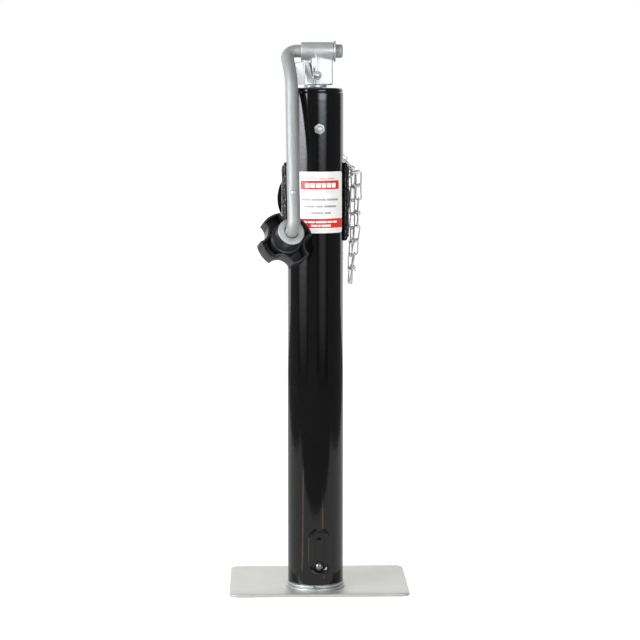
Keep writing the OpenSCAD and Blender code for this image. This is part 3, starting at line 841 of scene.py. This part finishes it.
def bead(line, size):
    """A weld bead along a line: an oval section whose size follows the puddles, closed at its ends."""
    line = np.asarray(line, float)
    far = np.concatenate([[0], np.cumsum(np.linalg.norm(np.diff(line, axis=0), axis=1))])
    ends = np.sqrt(np.clip(1 - (1 - np.minimum(far, far[-1] - far) / size).clip(0, 1) ** 2, 0.02, 1))
    lumps = 1 + 0.06 * np.sin(circle(1, 20)[:, 0] * 3 + far[:, None] * 1.9)
    section = circle(1, 20) * (puddles(far, size) * ends)[:, None, None] * lumps[..., None]
    return (swept(line, section), False, True, False)


weld_x, weld_y = TUBE_R + 1.4, SADDLE_LOW[1] - 0.4
for side, name in ((-1, "left"), (1, "right")):
    z = np.linspace(SADDLE_LOW[2] - 3.2, SADDLE_HIGH[2] + 3.6, 240)
    sway = 0.35 * np.sin(z / 3.1) + 0.2 * np.sin(z / 1.7 + side)
    toe = side * np.stack([weld_x + 0 * z + sway * 0.5, 0 * z, 0 * z], -1)
    inner = toe + np.stack([0 * z, weld_y + sway * 0.4, z], -1)
    outer = side * np.stack([weld_x + 2.1 + 0.25 * sway, 0 * z, 0 * z], -1)
    outer = (outer + np.stack([0 * z, weld_y + 0.5 - 0.3 * sway, z], -1))[12:-14]
    piece(name + "_weld", [bead(inner, 2.7), bead(outer, 2.1)], paint, "jack_body",
          ["saddle_welds"])

# %% [markdown]
# ## Foot
# The leg ends in a plate with softly turned-down borders, welded to a bright collar. From above, the collar
# shows as two rims with a dark groove between them, broken at the front where its ends meet.

# %% Foot plate
PLATE_LOW, PLATE_HIGH = box_mm("foot_plate")
plate_mid = (PLATE_LOW + PLATE_HIGH) / 2
half_w, half_d = (PLATE_HIGH - PLATE_LOW)[:2] / 2
plate_outline = rounded([(-half_w, -half_d), (half_w, -half_d), (half_w, half_d), (-half_w, half_d)], 9.0,
                        steps=12)
plate_t = PLATE_HIGH[2]
plate_grid = slab(plate_outline, 0, plate_t - 0.7, 1.3, at=(plate_mid[0], plate_mid[1], 0),
                  top=[(3.0, plate_t - 0.42), (5.5, plate_t - 0.16), (7.6, plate_t - 0.03), (8.6, plate_t)])
piece("foot_sheet", [(plate_grid, True, False, True)], satin, "leg", ["foot_plate"], crisp=50)

# %% [markdown]
# The collar is rolled from strip and butted at the front. One turned profile gives its two rims, and the
# open joint is pressed in afterwards by moving the grid's points towards the axis.

# %% Foot collar
COLLAR_LOW, COLLAR_HIGH = box_mm("foot_collar")
COLLAR_R = COLLAR_HIGH[0]
C = COLLAR_HIGH[2]
collar_profile = rounded([
    (25.1, COLLAR_LOW[2]), (COLLAR_R, COLLAR_LOW[2]), (COLLAR_R, C - 3.5), (28.3, C - 3.1), (28.3, C - 2.3),
    (COLLAR_R - 0.2, C - 2.0), (COLLAR_R - 0.4, C), (28.7, C), (28.2, C - 1.1), (25.1, C - 1.1)],
    (0.2, 0.4, 0.7, 0.25, 0.25, 0.6, 0.6, 0.3, 0.3, 0.3))
grid = turned(collar_profile, steps=240)
bearing = np.arctan2(grid[..., 0], -grid[..., 1]) - math.radians(4)
slot_cut = smooth(0.15 - np.abs(bearing + 0.02 * np.sin(grid[..., 2] * 5)), 0, 0.05)
slot_cut = slot_cut * (np.hypot(grid[..., 0], grid[..., 1]) > 26) * smooth(grid[..., 2], C - 3.6, C - 3.0)
grid[..., :2] *= (1 - 0.075 * slot_cut)[..., None]
piece("collar_ring", [(grid, True, True, False)], zinc, "leg", ["foot_collar"])

# %% [markdown]
# ## Crank head
# The head is folded from sheet: it wraps round the crank rod as a barrel, comes down on both sides of the
# drive stem and is pinned through it. The barrel is turned. The folded sheet below it is a grid whose
# thickness is worked out at each point, and a smooth maximum with the barrel's own curve makes the sheet
# flow into it.

# %% Head
HEAD_LOW, HEAD_HIGH = box_mm("crank_head")
FOLD_Z = JOINTS["handle_fold"]["pos_m"][2] / MM
BARREL_R = HEAD_HIGH[2] - FOLD_Z
BARREL_X0, BARREL_X1 = -14.5, HEAD_HIGH[0]
ROD_R = 6.35
barrel = rounded([(ROD_R + 0.2, BARREL_X0), (BARREL_R, BARREL_X0), (BARREL_R, BARREL_X1),
                  (ROD_R + 0.2, BARREL_X1)], (0.3, 0.7, 0.7, 0.3))
barrel_grid = turned(barrel, at=(0, 0, FOLD_Z), along=(1, 0, 0))

BODY_X = [-10.4, -10.1, -9.2, -6, -3, -1.2, -0.5, 0.2, 1, 4, 8, 12, 15, 16.8, 17.3, 17.5]
BODY_Y = [2.2, 3.4, 3.9, 5.2, 6.6, 7.4, 7.1, 8.2, 8.6, 8.3, 7.5, 6.6, 5.9, 5.4, 4.6, 3.2]
SHEET_BOTTOM = HEAD_LOW[2] - 0.3


def head_thickness(x, z):
    """Half the head's thickness: the folded sheet's section across, a valley that runs down to the pin,
    and a smooth maximum with the barrel, log(exp(k a) + exp(k b)) / k."""
    sheet = np.interp(x, BODY_X, BODY_Y)
    valley = (x + 5.6) * 0.95 + (z - 542) * 0.31
    sheet = sheet - 2.3 * np.exp(-(valley / 1.7) ** 2) * smooth(z, 526, 531) * smooth(x, 0.2, -0.8)
    curve = np.sqrt(np.clip(BARREL_R ** 2 - (z - FOLD_Z) ** 2, 0, None))
    k = 1.1
    return np.logaddexp(k * sheet, k * curve) / k - 0.1 * smooth(z, FOLD_Z - 4, FOLD_Z)


xs = np.sort(np.concatenate([np.linspace(-10.4, 17.5, 76), [-0.35, 0.35, -10.1, 17.3]]))
zs = SHEET_BOTTOM + np.concatenate([
    [0, 0.12, 0.35, 0.8, 1.4, 2.2], np.linspace(3, FOLD_Z - SHEET_BOTTOM, 64)])
X, Z = np.meshgrid(xs, zs, indexing="ij")
half_y = head_thickness(X, Z)
CORNER_R = 1.7
low = np.clip(CORNER_R - (Z - SHEET_BOTTOM), 0, CORNER_R)
corner = CORNER_R - np.sqrt(CORNER_R ** 2 - low ** 2)
X = X - corner * smooth(X, 9, 17.5)
half_y = half_y - 0.5 * (1 - smooth(Z - SHEET_BOTTOM, 0, 0.8))
front = np.stack([X, -half_y, Z], -1)
back = np.stack([X, half_y, Z], -1)[::-1]
body_grid = np.concatenate([front, back])

WING_BOTTOM, WING_TOP = HEAD_LOW[2] + 0.4, 541.6
wing_outline = rounded([
    (-11.3, WING_BOTTOM), (0.4, WING_BOTTOM), (0.4, FOLD_Z - 5), (-3.2, FOLD_Z - 5), (-3.6, WING_TOP),
    (-11.3, WING_TOP)],
    (0.8, 0, 0, 0.5, 2.8, 1.2))
WING_TURN = math.radians(13)
wing_grid = slab(wing_outline, -5.0, 0.6, 0.6, at=(-10, -2.2, 0),
                 normal=(math.sin(WING_TURN), -math.cos(WING_TURN), 0),
                 right=(math.cos(WING_TURN), math.sin(WING_TURN), 0))
head_surfaces = [
    (barrel_grid, True, True, False), (body_grid, True, False, True), (wing_grid, True, False, True)]
piece("head_fold", head_surfaces, zinc, "crank", ["crank_head"], crisp=40)

# %% Washer and rivet of the head
WASHER_LOW, WASHER_HIGH = box_mm("head_washer")
ring = rounded([
    (STEM_R + 0.1, WASHER_LOW[2]), (WASHER_HIGH[0], WASHER_LOW[2]), (WASHER_HIGH[0], WASHER_HIGH[2]),
    (STEM_R + 0.1, WASHER_HIGH[2])], 0.5)
piece("head_ring", [(turned(ring), True, True, False)], zinc, "crank", ["head_washer"])

PIN_TURN = math.radians(12)
pin_axis = np.array([math.sin(PIN_TURN), -math.cos(PIN_TURN), 0])
PIN_Z = sum(box_mm("head_pin"))[2] / 2
rivet = rounded([
    (0, -12.3), (2.9, -12.3), (2.9, -9.6), (2.55, -9.4), (2.55, 7.0), (4.3, 7.2), (4.3, 9.4), (3.5, 9.8),
    (3.3, 9.0), (3.2, 7.9), (2.7, 7.9), (2.65, 10.2), (1.6, 11.1), (0.5, 11.2), (0.4, 10.5), (0, 10.5)],
    (0, 0.9, 0.2, 0, 0, 0.3, 0.3, 0.2, 0.1, 0.1, 0.1, 0.6, 0.8, 0.1, 0.1, 0), closed=False)
rivet_grid = turned(rivet, at=(0, 0, PIN_Z), along=pin_axis, steps=64)
piece("head_rivet", [(rivet_grid, True, False, False)], zinc, "crank", ["head_pin"])

# %% [markdown]
# ## Crank rod
# One bar makes the whole handle. It runs through the barrel, bends down across the front of the tube, and
# bends in again as the spindle of the knob. Rounding the corners of its centre line gives the bends, and a
# small blob of plating stands on its front.

# %% Rod
KNOB_AXIS = unit(JOINTS["knob_spin"]["axis"])
KNOB_DISC_LOW, KNOB_DISC_HIGH = box_mm("knob_washer")
KNOB_DISC_T = 1.6
KNOB_FACE = (KNOB_DISC_LOW + KNOB_DISC_HIGH) / 2 - KNOB_AXIS * KNOB_DISC_T / 2
ROD_LOW, ROD_HIGH = box_mm("crank_rod")
ROD_END_X = ROD_HIGH[0]
rod_foot = KNOB_FACE - 9.0 * KNOB_AXIS
spindle_end = KNOB_FACE + 26.3 * KNOB_AXIS
rod_corners = [(ROD_END_X, 0, FOLD_Z), (-29.5, 0, FOLD_Z), (-24.4, -27, FOLD_Z - 27), rod_foot, spindle_end]
rod_line = rounded(rod_corners, (0, 9.5, 60, 9.6, 0), closed=False, steps=18)
far = np.concatenate([[0], np.cumsum(np.linalg.norm(np.diff(rod_line, axis=0), axis=1))])
fine = np.unique(np.concatenate([far, np.arange(0, far[-1], 2.0)]))
rod_line = np.stack([np.interp(fine, far, rod_line[:, i]) for i in range(3)], -1)
upset = 1 + 0.075 * smooth(fine, 7.6, 6.6)
section = circle(ROD_R, 40)[None] * upset[:, None, None]
rod_grid = swept(rod_line, section, edge=2.0)
steps_along = np.concatenate([[0] * 6, fine[1:-1], [fine[-1]] * 6]) * MM
steps_round = np.linspace(0, 2 * np.pi * ROD_R, 41) * MM
piece("rod_bar", [(rod_grid, False, True, False)], rod_zinc, "handle", ["crank_rod"],
      uv=(steps_along, steps_round))

BLOB_Z = 412.8
rod_bend = np.array(rod_corners[2])
blob_share = (rod_bend[2] - BLOB_Z) / (rod_bend[2] - rod_foot[2])
blob_at = rod_bend * (1 - blob_share) + rod_foot * blob_share
down = unit(rod_foot - rod_bend)
out = unit(np.cross(down, [1, 0, 0]))
out = -out * np.sign(out[1])
t = np.linspace(0, np.pi / 2, 12)
dome_profile = np.stack([3.0 * np.cos(t), ROD_R - 0.5 + 2.3 * np.sin(t)], -1)
dome_profile = np.concatenate([[(0, ROD_R - 1.7), (3.0, ROD_R - 1.7)], dome_profile])
blob_grid = turned(dome_profile, at=blob_at, along=out, steps=40)
piece("rod_blob", [(blob_grid, True, False, False)], zinc, "handle")


# %% Washers of the rod
def washer(name, inner, outer, low, high, at, along, node_name, body):
    """A stamped washer: a ring with one edge rounded by the punch and one kept crisp."""
    corners = [(inner, low), (outer, low), (outer, high), (inner, high)]
    loop = rounded(corners, (0.3, 0.5, 0.25, 0.2), steps=4)
    surface = (turned(loop, at=at, along=along), True, True, False)
    return piece(name, [surface], zinc, body, [node_name])


end_low, end_high = box_mm("rod_washer")
end_r = (end_high[2] - end_low[2]) / 2
washer("barrel_washer", ROD_R + 0.1, end_r, end_low[0], end_high[0], (0, 0, FOLD_Z), (1, 0, 0),
       "rod_washer", "handle")
washer("knob_disc", 7.05, 13.2, 0, KNOB_DISC_T, KNOB_FACE, KNOB_AXIS, "knob_washer", "handle")

# %% [markdown]
# ## Knob
# The knob is a hollow moulding: a tapered hub inside a four-lobed wall, with a pocket in each lobe that
# opens towards the crank and is closed at the far face. The whole moulding is one profile carried round the
# axis, where the wall's radius depends on the angle. The radius is the smaller of a disc's and of a scallop
# circle's near side, blended so that the lobe's corners are slightly round.

# %% Knob
KNOB_R = 27.4
LOBES = 4
LOBE_TURN = math.radians(-28)
SCALLOP_R, SCALLOP_AT = 11.6, 30.8
LOBE_WALL = 2.2
RIM, FAR_FACE, POCKET_FLOOR = 17.0, 31.0, 28.8
LEDGE_R = 15.8
BORE_R, BORE_END = 6.7, 22.4


def lobe_radius(angle, margin, blend=0.5):
    """Radius of the lobed outline, drawn in by a margin. With d the angle from the nearest scallop's
    middle, the scallop's near side is D cos d - sqrt(r^2 - (D sin d)^2)."""
    d = (angle - LOBE_TURN) % (2 * np.pi / LOBES) - np.pi / LOBES
    r = SCALLOP_R + margin
    inside = r ** 2 - (SCALLOP_AT * np.sin(d)) ** 2
    near = np.where(inside > 0, SCALLOP_AT * np.cos(d) - np.sqrt(np.maximum(inside, 0)), 60.0)
    disc = KNOB_R - margin
    return -blend * np.logaddexp(-disc / blend, -near / blend)


around = np.linspace(0, 2 * np.pi, 640, endpoint=False)
outer_r = lobe_radius(around, 0.0)
inner_r = np.maximum(lobe_radius(around, LOBE_WALL), LEDGE_R + 0.15)
gap = inner_r - LEDGE_R
floor_h = RIM + 1.3 + (POCKET_FLOOR - RIM - 1.3) * smooth(gap, 0.9, 3.2)
one = np.ones_like(around)
q = np.linspace(0, np.pi / 2, 5)
# The bore, the hub's round lip and its tapered side
rows = [(BORE_R * one, BORE_END * one), (BORE_R * one, 2.4 * one), (7.0 * one, 1.9 * one)]
rows += [((12.6 + 0.6 * np.sin(a)) * one, (2.5 - 0.6 * np.cos(a)) * one) for a in q]
rows += [((13.2 + 1.1 * s) * one, (2.6 + (RIM - 1.6) * s) * one) for s in np.linspace(0.1, 0.93, 6)]
# The hollow corner at the hub's foot, and the ledge's round edge
rows += [((14.3 + 0.4 * (1 - np.cos(a))) * one, (RIM + 0.2 + 0.4 * np.sin(a)) * one) for a in q]
rows += [((LEDGE_R - 0.5 + 0.5 * np.sin(a)) * one, (RIM + 1.1 - 0.5 * np.cos(a)) * one) for a in q]
# Down into the pocket, across its floor and up the inside of the wall
depth = floor_h - 0.5
rows += [((LEDGE_R + 0.02) * one, RIM + 1.2 + (depth - RIM - 1.2) * s) for s in (0.4, 0.8)]
inset = np.minimum(0.5, gap * 0.3)
rows += [(LEDGE_R + 0.05 + inset * (1 - np.cos(a)), depth + 0.5 * np.sin(a)) for a in q]
rows += [(inner_r - inset * (1 - np.sin(a)), floor_h - 0.5 * (1 - np.cos(a))) for a in q]
wall_low = RIM + 0.6
rows += [(inner_r, wall_low + (depth - wall_low) * s) for s in (0.8, 0.5, 0.2)]
# Over the wall's rim, down its outside and round onto the far face
rows += [(inner_r + 0.6 * (1 - np.cos(a)), (RIM + 0.6 - 0.6 * np.sin(a)) * one) for a in q]
rows += [(lobe_radius(around, 0.7 * (1 - np.sin(a))), (RIM + 0.7 - 0.7 * np.cos(a)) * one) for a in q]
rows += [(outer_r, (RIM + 0.7 + (FAR_FACE - RIM - 1.7) * s) * one) for s in (0.3, 0.6, 1.0)]
rows += [(lobe_radius(around, 1.0 * (1 - np.cos(a))), (FAR_FACE - 1.0 + 1.0 * np.sin(a)) * one) for a in q]
rows += [(12.6 * one, FAR_FACE * one), (12.1 * one, (FAR_FACE - 0.4) * one), (12.1 * one, BORE_END * one)]
knob_r = np.stack([r for r, h in rows], -1)
knob_h = np.stack([h + 0 * around for r, h in rows], -1)


def in_knob(angle, r, h):
    """Points of the knob's own frame, turned with it: the face's middle + h axis + r across."""
    cos, sin = np.cos(angle)[..., None], np.sin(angle)[..., None]
    return KNOB_FACE + h[..., None] * KNOB_AXIS + r[..., None] * (cos * ACROSS + sin * UPWARD)


polar, azimuth = math.radians(116), math.radians(108)
ACROSS = np.array([
    math.cos(polar) * math.cos(azimuth), math.cos(polar) * math.sin(azimuth), -math.sin(polar)])
UPWARD = np.cross(KNOB_AXIS, ACROSS)
knob_grid = in_knob(around[:, None] + 0 * knob_r, knob_r, knob_h)
piece("knob_moulding", [(knob_grid, True, True, False)], plastic, "grip", ["knob"],
      crisp=30)

cap_disc = rounded([(0, 29.0), (11.9, 29.0), (11.9, 30.8), (9.0, 30.8), (8.2, 30.1), (0, 30.4)],
                   (0, 0.3, 0.6, 0.5, 0.5, 0), closed=False)
piece("knob_plug", [(turned(cap_disc, at=KNOB_FACE, along=KNOB_AXIS), True, False, False)], plastic, "grip",
      ["knob_cap"])

# %% [markdown]
# ## Safety chain
# The chain is knotted from wire. Each link is two long loops end to end, tied in the middle by the wire's
# own ends, which wind across and stick out on one side. The links hang from a staple on the mount in two
# strands, near and far, and the far strand climbs to the lock pin's ring.

# %% One link
LINK_PITCH, LINK_W, WIRE = 28.5, 7.4, 1.7
WIRE_R = WIRE / 2
LINK_L = LINK_PITCH + 2 * WIRE + 0.8


def stadium(width, low, high, steps=10):
    """A long closed loop in the link's plane, its ends half circles, between two heights along the
    link."""
    r = width / 2
    a = np.linspace(0, np.pi, steps)
    top = np.stack([r * np.cos(a), 0 * a, high - r + r * np.sin(a)], -1)
    bottom = np.stack([-r * np.cos(a), 0 * a, low + r - r * np.sin(a)], -1)
    return np.concatenate([top, bottom])


def link_lines():
    """The lines of one link along Z: two loops that lean a little out of its plane, and the knot's
    winding, a helix across the link whose ends open out."""
    loops = []
    for low, high, lean in ((-1.0, LINK_L / 2 - WIRE_R, 0.5), (WIRE_R - LINK_L / 2, 1.0, -0.5)):
        loop = stadium(LINK_W - WIRE, low, high)
        loop[:, 0] *= 1 - 0.2 * np.exp(-(loop[:, 2] / 3.5) ** 2)
        loop[:, 1] += lean * np.exp(-(loop[:, 2] / 4) ** 2)
        loops.append(loop)
    windings = []
    for start in (0, np.pi):
        t = np.linspace(0, 1, 26)
        a = start + 2 * np.pi * 1.15 * t
        r = 1.5 + 1.3 * smooth(t, 0.65, 1.0)
        windings.append(np.stack([-2.8 + 8.0 * t, r * np.cos(a), r * np.sin(a)], -1))
    return loops, windings


LOOPS, WINDINGS = link_lines()


def link(p, q, roll):
    """A link from joint p to joint q, turned about its own length by roll degrees."""
    z = unit(q - p)
    yaw = np.arctan2(z[0], z[2])
    pitch = -np.arcsin(z[1])
    turn_y = np.array([[math.cos(yaw), 0, math.sin(yaw)], [0, 1, 0], [-math.sin(yaw), 0, math.cos(yaw)]])
    turn_x = np.array([
        [1, 0, 0], [0, math.cos(pitch), -math.sin(pitch)], [0, math.sin(pitch), math.cos(pitch)]])
    c, s = math.cos(math.radians(roll)), math.sin(math.radians(roll))
    turn_z = np.array([[c, -s, 0], [s, c, 0], [0, 0, 1]])
    matrix = turn_y @ turn_x @ turn_z
    middle = (p + q) / 2
    wire = circle(WIRE_R, 8)
    made = [(swept(line @ matrix.T + middle, wire, closed=True, up=matrix[:, 1]), True, True, False)
            for line in LOOPS]
    return made + [(swept(line @ matrix.T + middle, wire * 0.95, edge=0.25), False, True, False)
                   for line in WINDINGS]


def joints_along(start, guides):
    """Joints of a strand: each lies one pitch from the last, towards its guide point."""
    found = [np.array(start, float)]
    for guide in guides:
        found.append(found[-1] + LINK_PITCH * unit(np.array(guide) - found[-1]))
    return found


# %% [markdown]
# Each strand is worked out like a real hanging chain, link by link: the next joint lies one pitch further
# on, towards a guide point. Each link is then turned about its own length, because neighbours lie across
# each other.

# %% The two strands
NEAR_START = (38.05, 6.36, 430.5)
NEAR_GUIDES = [(46, 36, 430.5), (45.6, 37, 402), (44.4, 38, 374), (41.8, 39, 346), (37.4, 40, 318)]
NEAR_ROLLS = [90, 0, 90, 10, 100]
FAR_DROP = (0, 1.5, -2.2)
FAR_GUIDES = [
    (37.6, 44, 344), (39.4, 45, 372), (39.8, 46, 400), (40.5, 47, 429), (33, 71.5, 441), (13, 86, 462)]
FAR_ROLLS = [40, -60, 30, -45, 70, -10]
near = joints_along(NEAR_START, NEAR_GUIDES)
far_joints = joints_along(near[-1] + FAR_DROP, FAR_GUIDES)
links = [link(strand[i], strand[i + 1], roll)
         for strand, rolls in ((near, NEAR_ROLLS), (far_joints, FAR_ROLLS)) for i, roll in enumerate(rolls)]
hanging = [surface for one_link in links[:-2] for surface in one_link]
climbing = [surface for one_link in links[-2:] for surface in one_link]
piece("chain_links", hanging, chain_zinc, "jack_body", ["safety_chain"], crisp=60)
piece("chain_tail", climbing, chain_zinc, "jack_body", crisp=60)

# %% Staple
STAPLE_LOW, STAPLE_HIGH = box_mm("chain_staple")
staple_mid = (STAPLE_LOW + STAPLE_HIGH) / 2
STAPLE_WIRE = 2.2
staple_r = (STAPLE_HIGH[2] - STAPLE_LOW[2]) / 2 - STAPLE_WIRE / 2
a = np.linspace(-np.pi / 2, np.pi / 2, 20)
bow = np.stack([
    SADDLE_HIGH[0] + staple_r * np.cos(a), staple_mid[1] + 0 * a, staple_mid[2] + staple_r * np.sin(a)], -1)
bow = np.concatenate([[bow[0] - [1.5, 0, 0]], bow, [bow[-1] - [1.5, 0, 0]]])
bow_grid = swept(bow, circle(STAPLE_WIRE / 2, 16), edge=0.2)
piece("staple_bow", [(bow_grid, False, True, False)], zinc, "jack_body", ["chain_staple"])

# %% [markdown]
# ## The size of the dressed model
# The dressed model must stay the size of the working model.

# %% Sizes
VISUAL_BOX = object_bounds()
for label, (low_corner, high_corner) in (("working model", CAD_BOX), ("dressed model", VISUAL_BOX)):
    print(label, [round(x / MM, 1) for x in low_corner], [round(x / MM, 1) for x in high_corner])
